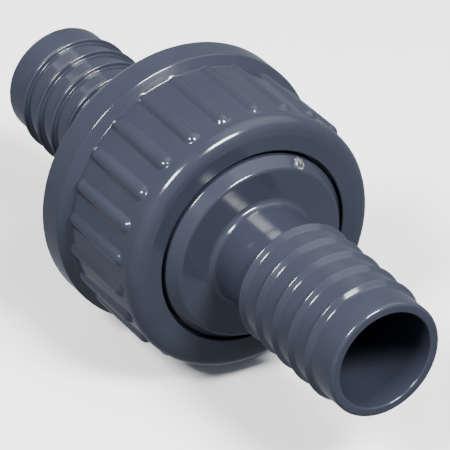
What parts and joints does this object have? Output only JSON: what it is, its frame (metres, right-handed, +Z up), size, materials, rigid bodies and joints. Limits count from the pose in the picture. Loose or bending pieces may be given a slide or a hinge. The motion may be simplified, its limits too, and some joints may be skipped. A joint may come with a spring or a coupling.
{
  "type": "pipe union",
  "caption": "Screwed pipe union with a barbed hose tail at each end, a ribbed union nut and a sealing ring between the joint faces.",
  "frame": {"origin": "on the axis of the union, half way between the two hose mouths", "axes": "+X along the axis towards the mouth of the flanged tail, +Z up; the nut's first grip rib stands 7.9 degrees from +Z towards -Y"},
  "size_m": [0.162, 0.0786, 0.0786],
  "materials": {
    "nut_pvc": "moulded rigid PVC, slate grey, glossy",
    "tail_pvc": "moulded rigid PVC, slate grey, glossy",
    "seal_rubber": "black moulded rubber, satin"
  },
  "bodies": {
    "threaded_end": {"threaded_tail": "tail_pvc", "o_ring": "seal_rubber"},
    "flanged_end": {"flanged_tail": "tail_pvc"},
    "nut": {"union_nut": "nut_pvc"}
  },
  "joints": [
    {"name": "tail_draw", "type": "slide", "parent": "threaded_end", "child": "flanged_end", "axis": [1, 0, 0], "range_m": [0, 0.0162]},
    {"name": "nut_turn", "type": "hinge", "parent": "flanged_end", "child": "nut", "pos_m": [0, 0, 0], "axis": [1, 0, 0], "range_deg": [0, 2520]}
  ],
  "couplings": [
    {"joint": "tail_draw", "follows": "nut_turn", "m_per_rad": 0.00036749}
  ]
}
